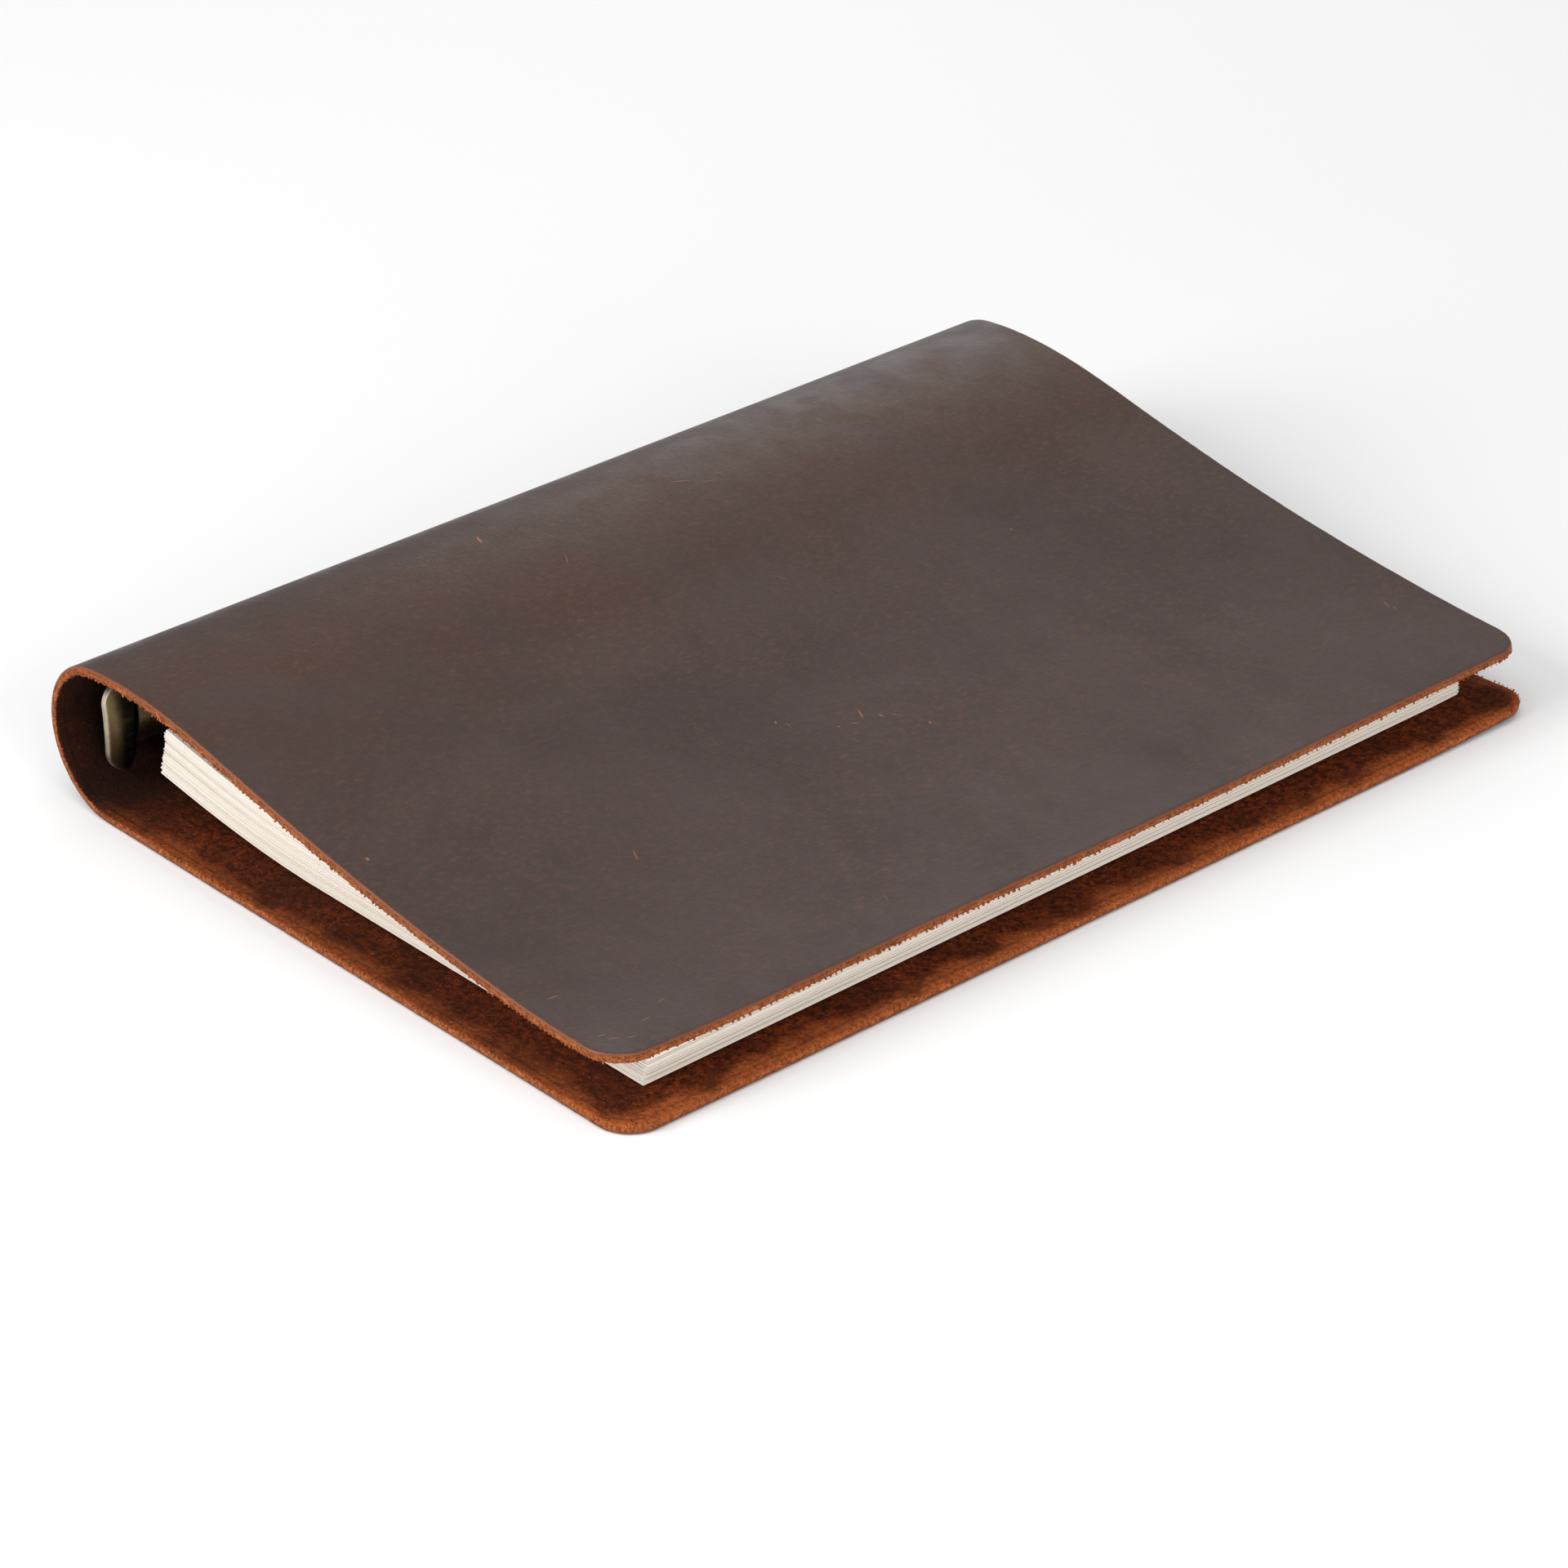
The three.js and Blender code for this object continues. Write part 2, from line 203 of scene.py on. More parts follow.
DARK_GRAIN = (0.046, 0.0280, 0.0245, 1)
LIGHT_GRAIN = (0.060, 0.0385, 0.0340, 1)
# browner grain where the hide is bent, kept dark as painted shade on the slope past the crown
PULLED_AND_SHADED_GRAIN = (0.058, 0.0290, 0.0185, 1)
RUST = (0.150, 0.060, 0.027, 1)
TAN = (0.36, 0.130, 0.050, 1)
WORN_RIM = (0.22, 0.062, 0.022, 1)

DARK_SUEDE = (0.044, 0.0135, 0.0075, 1)
DEEP_NAP = (0.058, 0.0125, 0.0045, 1)
RAISED_NAP = (0.240, 0.048, 0.0115, 1)
RUSTY_TUFT = (0.56, 0.118, 0.028, 1)
RUBBED_SUEDE = (0.60, 0.155, 0.044, 1)
# painted shade: near-black for the suede inside the spine
SPINE_SHADE_SUEDE = (0.020, 0.0090, 0.0070, 1)

DARK_FIBRE = (0.20, 0.046, 0.012, 1)
TAN_FIBRE = (0.62, 0.185, 0.052, 1)
BROWN_PATCH = (0.26, 0.070, 0.022, 1)
PIT = (0.09, 0.024, 0.009, 1)
DYED_FIBRE = (0.080, 0.022, 0.009, 1)


def hide_plan(paint):
    """Where a point lies on the hide, in metres: its place on the flat hide as a vector, how far it is along
    the hide from the back fore-edge, and how far from the nearest cut edge."""
    where = paint.add("ShaderNodeAttribute", {}, output="Vector", attribute_name="hide_plan")
    split = paint.tree.nodes.new("ShaderNodeSeparateXYZ")
    paint.tree.links.new(where, split.inputs[0])
    flat = paint.scaled(where, 1, 1, 0)
    return flat, split.outputs[0], split.outputs[2]


# Nicks and scratches that show the tan core: distance past the spine's crown, place along the spine,
# half length and half width in millimetres, turn in degrees, and how strongly it shows.
SCRATCHES = [
    (8.6, -28.5, 1.9, 0.30, -18, 1.0),
    (130.5, -109.0, 1.4, 0.22, 85, 0.6),
    (145.4, -110.4, 1.2, 0.20, 80, 0.5),
    (147.6, -109.4, 1.5, 0.18, 60, 0.45),
    (149.0, -106.8, 1.3, 0.16, 70, 0.45),
    (146.0, -101.0, 1.6, 0.16, 95, 0.4),
    (143.0, -95.0, 1.3, 0.16, 110, 0.4),
    (78.6, -109.5, 0.6, 0.40, 0, 0.9),
    (105.2, -69.2, 1.9, 0.20, -23, 0.6),
    (94.8, -5.4, 2.0, 0.22, -23, 0.7),
    (96.4, -8.4, 0.9, 0.22, 60, 0.6),
    (97.4, -2.6, 0.7, 0.30, 15, 0.6),
    (95.6, -11.6, 0.6, 0.22, 80, 0.5),
    (98.8, -0.2, 1.0, 0.16, 40, 0.5),
    (87.8, -20.5, 0.7, 0.26, -30, 0.6),
    (89.6, -19.0, 1.2, 0.14, -10, 0.4),
    (104.5, 3.5, 0.5, 0.32, 0, 0.8),
    (15.2, 17.0, 2.6, 0.20, 63, 0.55),
    (18.6, 21.6, 1.6, 0.16, 70, 0.45),
    (25.0, -20.0, 2.0, 0.16, -30, 0.45),
    (143.1, -42.5, 1.8, 0.14, -20, 0.35),
    (126.5, 104.6, 1.7, 0.20, -20, 0.5),
    (128.4, 104.9, 1.2, 0.16, -20, 0.4),
    (64.0, 62.0, 0.5, 0.30, 0, 0.4),
    (52.0, 12.0, 1.4, 0.14, 30, 0.35),
]


def scratch_mask(paint, flat):
    """How strongly the nicks and scratches show at a point."""
    mask = None
    for across, along, half_length, half_width, turn, strength in SCRATCHES:
        inputs = {
            "Vector": flat,
            "Location": (line.length_to_crown + across * MM, along * MM, 0),
            "Rotation": (0, 0, math.radians(turn)),
            "Scale": (half_length * MM, half_width * MM, 1),
        }
        local = paint.add("ShaderNodeMapping", inputs, vector_type="TEXTURE")
        reach = paint.add("ShaderNodeVectorMath", {0: local}, output="Value", operation="LENGTH")
        nick = paint.span(reach, 0.35, 1.1, strength, 0.0)
        mask = nick if mask is None else paint.math("MAXIMUM", mask, nick)
    return mask


def oiled_grain():
    """The outside: dark, smooth oiled grain that turns browner where it has been bent past the spine's crown,
    a tint kept dark there as painted shade on that slope, with a band of painted shade along the crown.
    """
    paint = Paint("oiled_grain")
    flat, along_hide, edge = hide_plan(paint)
    crown = line.length_to_crown
    mottle = paint.noise(flat, 60 * MM, 5.0, 0.6, 0.4)
    base = paint.mix(paint.span(mottle, 0.36, 0.66), DARK_GRAIN, LIGHT_GRAIN)
    drift = paint.noise(flat, 38 * MM, 4.0, 0.6, 0.6)
    rise = paint.span(along_hide, crown - 2 * MM, crown + 14 * MM)
    fall = paint.span(along_hide, crown + 22 * MM, crown + 70 * MM, 1.0, 0.0)
    bent = paint.math("MULTIPLY", rise, fall)
    # Painted shade: past the crown the browner tint is also kept darker than the light grain, for the slope
    # that faces away from the light.
    pull_and_slope_shade = paint.math("MULTIPLY", bent, paint.span(drift, 0.36, 0.62, 0.3, 1.0))
    lighter = paint.mix(pull_and_slope_shade, base, PULLED_AND_SHADED_GRAIN)
    # Painted shade: a darker band is painted along the crown of the spine.
    crown_band_distance = paint.math("ABSOLUTE", paint.math("SUBTRACT", along_hide, crown - 2 * MM))
    lighter = paint.mix(paint.span(crown_band_distance, 1 * MM, 9 * MM, 0.55, 0.0), lighter, DARK_GRAIN)
    flecks = paint.noise(paint.scaled(flat, 1.0, 0.6, 1.0), 1.1 * MM, 5.0, 0.75, 0.6)
    dusting = paint.math("MULTIPLY", paint.span(flecks, 0.46, 0.72), paint.span(drift, 0.3, 0.7, 0.22, 0.5))
    flecked = paint.mix(dusting, lighter, RUST)
    stretched = paint.scaled(flat, 1.0, 0.35, 1.0)
    wisps = paint.noise(stretched, 6 * MM, 6.0, 0.75, 1.2)
    worn = paint.math("MULTIPLY", paint.span(wisps, 0.60, 0.76), paint.span(drift, 0.45, 0.7, 0.0, 0.45))
    streaked = paint.mix(worn, flecked, RUST)
    hairs = paint.noise(paint.scaled(flat, 1.0, 0.14, 1.0), 2.2 * MM, 3.0, 0.8, 2.5)
    haired = paint.mix(paint.span(hairs, 0.72, 0.82, 0.0, 0.35), streaked, RUST)
    scratched = paint.mix(scratch_mask(paint, flat), haired, TAN)
    ragged = paint.math("ADD", edge, paint.math("MULTIPLY", paint.math("SUBTRACT", flecks, 0.5), 1.2 * MM))
    fringed = paint.mix(paint.span(ragged, 0.05 * MM, 0.5 * MM, 0.7, 0.0), scratched, WORN_RIM)
    pores = paint.cells(flat, 0.7 * MM)
    creases = paint.noise(flat, 1.6 * MM, 5.0, 0.7, 0.5)
    normal = paint.bump(paint.noise(flat, 16 * MM, 3.0), 0.30 * MM, 0.5)
    normal = paint.bump(creases, 0.09 * MM, 0.5, below=normal)
    normal = paint.bump(pores, 0.03 * MM, 0.5, below=normal)
    roughness = paint.span(paint.noise(flat, 9 * MM, 4.0), 0.3, 0.7, 0.40, 0.50)
    return paint.finish(fringed, roughness, normal, Specular_IOR_Level=0.32)


def suede():
    """The inside: raw flesh side, dark, with rusty fibres and a lighter rubbed band at the edge. It also
    carries
    painted shade: darker from the back fore-edge in toward the spine, near-black inside the spine, and a dark
    line along the crease near the edge."""
    paint = Paint("suede")
    flat, along_hide, edge = hide_plan(paint)
    nap = paint.noise(flat, 1.7 * MM, 6.0, 0.75, 0.3)
    tufts = paint.noise(flat, 0.9 * MM, 4.0, 0.75)
    cloud = paint.noise(flat, 14 * MM, 4.0, 0.6)
    brown = paint.mix(paint.span(nap, 0.40, 0.62), DEEP_NAP, RAISED_NAP)
    rusty = paint.mix(paint.span(tufts, 0.54, 0.70, 0.0, 0.9), brown, RUSTY_TUFT)
    cloudy = paint.mix(paint.span(cloud, 0.38, 0.62, 0.0, 0.5), rusty, DARK_SUEDE)
    # Painted shade: the suede is painted darker from 5 mm to 24 mm in from the back fore-edge, on toward the
    # spine.
    shaded = paint.mix(paint.span(along_hide, 5 * MM, 24 * MM, 0.0, 0.36), cloudy, DARK_SUEDE)
    wander = paint.math("MULTIPLY", paint.math("SUBTRACT", cloud, 0.5), 16 * MM)
    jitter = paint.math("MULTIPLY", paint.math("SUBTRACT", nap, 0.5), 5 * MM)
    ragged = paint.math("ADD", paint.math("ADD", edge, wander), jitter)
    at_edge = paint.span(ragged, 0.6 * MM, 5.0 * MM, 0.7, 0.0)
    rubbed = paint.math("MULTIPLY", at_edge, paint.span(tufts, 0.35, 0.6, 0.35, 1))
    near_edge = paint.math("MULTIPLY", rubbed, paint.span(along_hide, 5 * MM, 24 * MM, 1.0, 0.6))
    bordered = paint.mix(near_edge, shaded, RUBBED_SUEDE)
    # Painted shade along the crease 1.9 mm in from the edge: the line is bumped below, and its colour is
    # painted darker too.
    crease = paint.math("ABSOLUTE", paint.math("SUBTRACT", edge, 1.9 * MM))
    groove = paint.span(crease, 0.1 * MM, 0.5 * MM, 0.0, 1.0)
    pressed = paint.mix(paint.span(groove, 0, 1, 0.3, 0.0), bordered, DARK_SUEDE)
    # Painted shade: the suede inside the roll of the spine is painted near-black, standing in for the shade
    # in there.
    roll, crown = line.length_to_roll, line.length_to_crown
    into_spine = paint.span(along_hide, roll - 14 * MM, roll + 8 * MM)
    out_of_spine = paint.span(along_hide, crown + 12 * MM, crown + 40 * MM, 1.0, 0.0)
    spine_shade = paint.math("MULTIPLY", into_spine, out_of_spine)
    inside = paint.math("MULTIPLY", spine_shade, paint.span(tufts, 0.55, 0.75, 0.90, 0.66))
    # The painted spine shade is mixed in here.
    dyed = paint.mix(inside, pressed, SPINE_SHADE_SUEDE)
    normal = paint.bump(groove, 0.2 * MM, 0.6)
    normal = paint.bump(nap, 0.8 * MM, 0.9, below=normal)
    normal = paint.bump(tufts, 0.45 * MM, 1.0, below=normal)
    return paint.finish(dyed, 0.95, normal, Specular_IOR_Level=0.06)


def cut_edge():
    """The raw cut edge: tan fibres with darker pits, dyed dark for a little way in from the grain."""
    paint = Paint("cut_edge")
    place = paint.add("ShaderNodeTexCoord", {}, output="Object")
    fibres = paint.noise(place, 0.9 * MM, 5.0, 0.75, 0.6)
    patches = paint.noise(place, 6 * MM, 3.0)
    pits = paint.noise(place, 0.45 * MM, 3.0, 0.6)
    tan = paint.mix(paint.span(fibres, 0.36, 0.66), DARK_FIBRE, TAN_FIBRE)
    warm = paint.mix(paint.span(patches, 0.35, 0.65, 0.0, 0.4), tan, BROWN_PATCH)
    pitted = paint.mix(paint.span(pits, 0.58, 0.72, 0.0, 0.8), warm, PIT)
    depth = paint.add("ShaderNodeAttribute", {}, output="Fac", attribute_name="cut_depth")
    below_grain = paint.math("ADD", depth, paint.math("MULTIPLY", paint.math("SUBTRACT", fibres, 0.5), 0.5))
    dyed = paint.mix(paint.span(below_grain, 0.15, 0.6, 0.5, 0.0), pitted, DYED_FIBRE)
    normal = paint.bump(fibres, 0.6 * MM, 0.9)
    normal = paint.bump(pits, 0.3 * MM, 0.8, below=normal)
    return paint.finish(dyed, 0.9, normal, Specular_IOR_Level=0.2)


# ---------------------------------------------------------------- paper and metal materials

CREAM_CARD = (0.84, 0.765, 0.675, 1)
PALE_CARD = (0.95, 0.895, 0.82, 1)
CARD_FLECK = (0.76, 0.68, 0.59, 1)
# near-black: dark patina, and painted shade on the lever
DARK_PATINA_AND_SHADE = (0.016, 0.013, 0.009, 1)
WORN_BRASS = (0.33, 0.26, 0.14, 1)
# bright rubbed brass, and a painted highlight along the lever's rim
RUBBED_AND_HIGHLIT_BRASS = (0.90, 0.81, 0.60, 1)
BRASS_STREAK = (0.16, 0.13, 0.08, 1)


def card():
    """Uncoated ivory card, a little different from sheet to sheet."""
    paint = Paint("card")
    place = paint.add("ShaderNodeTexCoord", {}, output="Object")
    tone = paint.add("ShaderNodeAttribute", {}, output="Fac", attribute_name="tone")
    fibres = paint.noise(place, 1.1 * MM, 5.0, 0.7)
    sheet = paint.mix(tone, CREAM_CARD, PALE_CARD)
    flecked = paint.mix(paint.span(fibres, 0.5, 0.8, 0.0, 0.2), sheet, CARD_FLECK)
    normal = paint.bump(fibres, 0.04 * MM, 0.5)
    return paint.finish(flecked, 0.88, normal, Specular_IOR_Level=0.25)


def antique_brass():
    """Antiqued brass: rubbed bright where wear_and_painted_light is 1, and left dark olive where it is 0; on
    the lever the bright end is also a painted highlight and the dark end painted shade.
    """
    paint = Paint("antique_brass")
    place = paint.add("ShaderNodeTexCoord", {}, output="Object")
    wear_and_painted_light = paint.add("ShaderNodeAttribute", {}, output="Fac", attribute_name="wear_and_painted_light")
    patina = paint.noise(place, 5 * MM, 5.0, 0.6)
    grain = paint.noise(paint.scaled(place, 1, 0.15, 1), 0.8 * MM, 4.0, 0.6)
    # Painted light: low values paint near-black shade and high values a bright rim highlight, besides the
    # patina and rubbing.
    uneven = paint.math("ADD", wear_and_painted_light, paint.math("MULTIPLY", paint.math("SUBTRACT", patina, 0.5), 0.35))
    metal = paint.mix(paint.span(uneven, 0.0, 0.5), DARK_PATINA_AND_SHADE, WORN_BRASS)
    rubbed = paint.mix(paint.span(uneven, 0.5, 1.0), metal, RUBBED_AND_HIGHLIT_BRASS)
    streaked = paint.mix(paint.span(grain, 0.45, 0.75, 0.0, 0.25), rubbed, BRASS_STREAK)
    normal = paint.bump(grain, 0.03 * MM, 0.4)
    roughness = paint.span(patina, 0.3, 0.7, 0.44, 0.32)
    return paint.finish(streaked, roughness, normal, Metallic=1.0)


# ---------------------------------------------------------------- the hide

def arc_points(x, z, radius, from_angle, to_angle, count):
    angles = np.linspace(from_angle, to_angle, count)
    return np.column_stack([x + radius * np.cos(angles), z + radius * np.sin(angles)])


def bezier_points(start, start_handle, end_handle, end, count):
    t = np.linspace(0, 1, count)[:, None]
    p = [np.array(point) for point in (start, start_handle, end_handle, end)]
    return (1 - t) ** 3 * p[0] + 3 * t * (1 - t) ** 2 * p[1] + 3 * t * t * (1 - t) * p[2] + t ** 3 * p[3]


class HideLine:
    """The outer line of the hide in X and Z, by distance from the back cover's fore-edge."""

    def __init__(self):
        flat_x = np.linspace(FORE_EDGE_X, SPINE_X, 200)
        flat = np.column_stack([flat_x, np.zeros(200)])
        roll = arc_points(SPINE_X, SPINE_RADIUS, SPINE_RADIUS, math.radians(270), ROLL_END, 400)
        rise = bezier_points(roll[-1], *RISE_HANDLES, SHOULDER, 200)
        fall = bezier_points(SHOULDER, *FALL_HANDLES, FRONT_EDGE, 300)
        self.points = np.vstack([flat, roll[1:], rise[1:], fall[1:]])
        steps = np.hypot(*np.diff(self.points, axis=0).T)
        self.lengths = np.concatenate([[0], np.cumsum(steps)])
        self.total = self.lengths[-1]
        self.length_to_roll = self.lengths[len(flat) - 1]
        self.length_to_crown = self.lengths[len(flat) + len(roll) - 2]
        turn = np.gradient(self.points, self.lengths, axis=0)
        self.tangents = turn / np.hypot(*turn.T)[:, None]

    def at(self, distance):
        point = [np.interp(distance, self.lengths, self.points[:, k]) for k in (0, 1)]
        tangent = [np.interp(distance, self.lengths, self.tangents[:, k]) for k in (0, 1)]
        return point, tangent


line = HideLine()
FOLD_MIDDLE = line.length_to_roll + SPINE_RADIUS * math.radians(270 - SEAM_ANGLE)


def from_cut_edge(distance, y):
    """How far a point is from the nearest cut edge, and the way out to it, as (along the hide, along Y)."""
    to_end = min(distance, line.total - distance)
    outward = -1 if distance < line.total / 2 else 1
    to_side = HALF_LENGTH - abs(y)
    side = math.copysign(1, y)
    if to_end < CORNER_RADIUS and to_side < CORNER_RADIUS:
        across, down = CORNER_RADIUS - to_end, CORNER_RADIUS - to_side
        reach = math.hypot(across, down) or 1e-9
        return CORNER_RADIUS - reach, (outward * across / reach, side * down / reach)
    if to_side <= to_end:
        return to_side, (0, side)
    return to_end, (outward, 0)


def swell(distance, y):
    """How far the hide stands out from its even line: a curled near corner, soft waves and a slight sag in
    the front cover, and a back cover whose far corner lifts a little."""
    past_crown = distance - line.length_to_crown
    near_corner = math.hypot(line.total - distance, y + HALF_LENGTH)
    curl = 1.2 * MM * max(0, 1 - near_corner / (30 * MM)) ** 2
    share = float(smoothstep(10 * MM, 50 * MM, past_crown))
    waves = 0.22 * MM * wobble(distance, y, 55 * MM, 3) + 0.05 * MM * wobble(distance, y, 14 * MM, 5)
    far_corner = math.hypot(distance, HALF_LENGTH - y)
    lift = 1.1 * MM * max(0, 1 - far_corner / (45 * MM)) ** 2
    sag = 0.5 * MM * math.exp(-((y - 18 * MM) / (45 * MM)) ** 2)
    sag *= float(smoothstep(90 * MM, 150 * MM, past_crown))
    return curl + share * waves - lift - sag


def hide_point(distance, y, depth, spread=0.0):
    """A point in the hide: depth is measured in from the grain side, and spread out past the cut edge."""
    _, (out_along, out_y) = from_cut_edge(distance, y)
    (x, z), (tangent_x, tangent_z) = line.at(distance)
    depth -= swell(distance, y)
    x += depth * tangent_z + spread * out_along * tangent_x
    z += -depth * tangent_x + spread * out_along * tangent_z
    return x, y + spread * out_y, z


EDGE_ROUND = 0.42 * MM  # rounding of the cut edge on the grain side, and on the suede side
FLESH_ROUND = 0.30 * MM
PRESSED = 0.35 * MM  # how much thinner the hide is where the cutting die has pressed it


def rounded(radius, edge):
    """How far a face with a rounded corner has fallen away at this distance from the cut edge."""
    short = max(0.0, radius - edge)
    return radius - math.sqrt(radius * radius - short * short)


def fray(distance, y, layer):
    """Fibres that stand out of the cut edge."""
    coarse = noise.noise(Vector((distance / (1.6 * MM), y / (1.6 * MM), layer * 0.9)))
    fine = noise.noise(Vector((distance / (0.7 * MM), y / (0.7 * MM), 7 + layer * 1.3)))
    return (0.14 * coarse + 0.12 * fine) * MM


CRUMBS = 480  # small lumps of loose fibre along the cut edges of each piece of the hide


def blob():
    """A small round lump: an octahedron divided once."""
    points = [Vector(p) for p in ((1, 0, 0), (-1, 0, 0), (0, 1, 0), (0, -1, 0), (0, 0, 1), (0, 0, -1))]
    faces = [(0, 2, 4), (2, 1, 4), (1, 3, 4), (3, 0, 4), (2, 0, 5), (1, 2, 5), (3, 1, 5), (0, 3, 5)]
    middles = {}

    def middle(a, b):
        key = (min(a, b), max(a, b))
        if key not in middles:
            middles[key] = len(points)
            points.append((points[a] + points[b]).normalized())
        return middles[key]

    divided = []
    for a, b, c in faces:
        ab, bc, ca = middle(a, b), middle(b, c), middle(c, a)
        divided += [(a, ab, ca), (ab, b, bc), (ca, bc, c), (ab, bc, ca)]
    return points, divided


BLOB_POINTS, BLOB_FACES = blob()


def hide_stations(start, end):
    """Distances along the hide for a piece, closer together at the fore-edge corner and round the spine."""
    corner = [CORNER_RADIUS * (1 - math.cos(math.radians(7.5 * k))) for k in range(13)]
    fixed = corner if start == 0 else [line.total - d for d in reversed(corner)]
    roll_from, roll_to = line.length_to_roll - 8 * MM, line.length_to_crown + 40 * MM
    flat_step, roll_step = 1.1 * MM, 0.8 * MM
    stations = [fixed[-1]] if start == 0 else [start, start + 0.1 * MM, start + 0.25 * MM]
    goal = end if start == 0 else fixed[0]
    while stations[-1] < goal:
        here = stations[-1]
        stations.append(here + (roll_step if roll_from < here < roll_to else flat_step))
    stations = [s for s in stations if s < goal - 0.5 * MM]
    if start == 0:
        return fixed[:-1] + stations + [goal - 0.25 * MM, goal - 0.1 * MM, goal]
    return stations + fixed


def hide_rows(distance):
    """Places along Y for one station, close together at the two cut edges."""
    to_end = min(distance, line.total - distance)
    half = HALF_LENGTH
    if to_end < CORNER_RADIUS:
        half += math.sqrt(CORNER_RADIUS ** 2 - (CORNER_RADIUS - to_end) ** 2) - CORNER_RADIUS
    borders = [k * MM for k in (0, 0.1, 0.22, 0.42, 0.8, 1.5, 2.8, 4.8, 7)]
    inner = half - borders[-1]
    middle = [inner * (2 * k / 160 - 1) for k in range(1, 160)]
    return [b - half for b in borders] + middle + [half - b for b in reversed(borders)]


def hide_piece(name, start, end):
    """One closed stretch of the hide, from a cut edge to the seam between the two pieces of leather."""
    stations = hide_stations(start, end)
    seam_last = start == 0
    rows = len(hide_rows(stations[0]))
    vertices, plan, depths = [], [], []

    def put(distance, y, depth, spread):
        vertices.append(hide_point(distance, y, depth, spread))
        edge, _ = from_cut_edge(distance, y)
        plan.append((distance, y, edge))
        depths.append(depth / HIDE)
        return len(vertices) - 1

    grain, flesh = [], []
    for distance in stations:
        grain_row, flesh_row = [], []
        for y in hide_rows(distance):
            edge, _ = from_cut_edge(distance, y)
            edge = max(edge, 0)
            rim = max(0.0, 1 - edge / (0.8 * MM))
            grain_depth = rounded(EDGE_ROUND, edge)
            pressed = PRESSED * max(0.0, 1 - edge / (3 * MM)) ** 2
            pressed *= float(smoothstep(-1.1, -0.6, y / HALF_LENGTH))
            flesh_depth = HIDE - pressed - rounded(FLESH_ROUND, edge) + rim * fray(distance, y, 9)
            grain_row.append(put(distance, y, grain_depth, rim * fray(distance, y, 0) * 0.6))
            flesh_row.append(put(distance, y, flesh_depth, rim * fray(distance, y, 4)))
        grain.append(grain_row)
        flesh.append(flesh_row)

    faces, kinds = [], []

    def face(corners, kind):
        faces.append(corners)
        kinds.append(kind)

    for i in range(len(stations) - 1):
        for j in range(rows - 1):
            cells = (grain[i][j], grain[i][j + 1], grain[i + 1][j + 1], grain[i + 1][j])
            face(cells[::-1], 0)
            cells = (flesh[i][j], flesh[i + 1][j], flesh[i + 1][j + 1], flesh[i][j + 1])
            face(cells[::-1], 1)

    last = len(stations) - 1
    seam, free = (last, 0) if seam_last else (0, last)
    order = range(last, -1, -1) if seam_last else range(last + 1)
    rim_path = [(i, 0) for i in order]
    rim_path += [(free, j) for j in range(1, rows)]
    rim_path += [(i, rows - 1) for i in reversed(list(order))][1:]
    layers = 4
    walls = []
    for i, j in rim_path:
        distance, y = stations[i], hide_rows(stations[i])[j]
        column = [grain[i][j]]
        for layer in range(1, layers):
            depth = EDGE_ROUND + (HIDE - EDGE_ROUND - FLESH_ROUND - PRESSED) * layer / layers
            column.append(put(distance, y, depth, 0.05 * MM + fray(distance, y, layer)))
        column.append(flesh[i][j])
        walls.append(column)
    for one, two in zip(walls, walls[1:]):
        for layer in range(layers):
            cells = (one[layer], two[layer], two[layer + 1], one[layer + 1])
            face(cells if seam_last else cells[::-1], 2)
    for j in range(rows - 1):
        top, bottom = [grain[seam][j], grain[seam][j + 1]], [flesh[seam][j + 1], flesh[seam][j]]
        if j == 0:
            bottom += walls[0][1:-1][::-1]
        if j == rows - 2:
            top += walls[-1][1:-1]
        cells = tuple(top + bottom)
        face(cells if seam_last else cells[::-1], 2)

    for i, j in random.sample(rim_path, min(len(rim_path), CRUMBS)):
        distance, y = stations[i], hide_rows(stations[i])[j]
        depth = HIDE - PRESSED + random.uniform(-0.25, 0.1) * MM
        centre = Vector(hide_point(distance, y, depth, random.uniform(0.0, 0.15) * MM))
        first = len(vertices)
        size = random.uniform(0.09, 0.23) * MM * (1.4 if y < 0 else 1.0)
        turn = Euler([random.uniform(0, 6) for _ in range(3)]).to_matrix()
        stretch = Vector((random.uniform(1, 2.2), 1, random.uniform(0.7, 1.2)))
        for corner in BLOB_POINTS:
            vertices.append(centre + turn @ (corner * stretch) * size)
            plan.append((distance, y, 0))
            depths.append(0.9)
        for cells in BLOB_FACES:
            face(tuple(first + c for c in cells), 2)

    obj = new_object(name, vertices, faces, [GRAIN, SUEDE, CUT], kinds)
    store(obj, "hide_plan", plan)
    store(obj, "cut_depth", depths)
    sharpen(obj, 50)
    return obj


GRAIN, SUEDE, CUT = oiled_grain(), suede(), cut_edge()
CARD = card()
BRASS = antique_brass()

random.seed(5)
lower_hide = hide_piece("hide_back_and_spine", 0, FOLD_MIDDLE)
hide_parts("back_cover", "spine_wrap", "spine_fold")
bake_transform(lower_hide)

upper_hide = hide_piece("hide_front", FOLD_MIDDLE, line.total)
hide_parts("front_cover")
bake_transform(upper_hide)


# ---------------------------------------------------------------- the sheets

